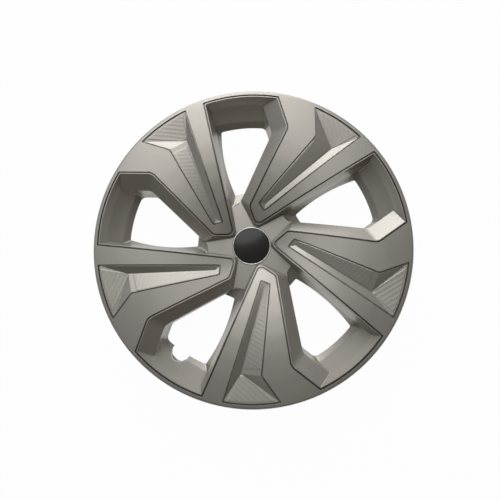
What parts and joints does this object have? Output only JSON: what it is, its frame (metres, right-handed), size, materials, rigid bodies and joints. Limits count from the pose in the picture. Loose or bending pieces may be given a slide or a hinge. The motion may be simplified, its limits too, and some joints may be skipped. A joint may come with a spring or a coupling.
{
  "type": "hubcap",
  "caption": "Silver plastic wheel cover with kinked, directional spokes, faceted inlays, a bare black centre badge and a wire snap ring behind.",
  "frame": {"origin": "on the wheel's axis, in the plane of the legs' feet", "axes": "+Z along the wheel's axis out of the face, -Y along the spoke that points down in the picture"},
  "size_m": [0.405, 0.405, 0.058],
  "materials": {
    "silver_paint": "warm silver metallic paint on moulded plastic",
    "spring_wire": "zinc-plated spring wire",
    "badge_metal": "bright turned rim",
    "badge_black": "gloss black dome"
  },
  "bodies": {
    "root": {"wheel_cover": "silver_paint", "retaining_ring": "spring_wire", "badge_backing": "badge_metal", "badge_face": "badge_black"}
  },
  "joints": []
}
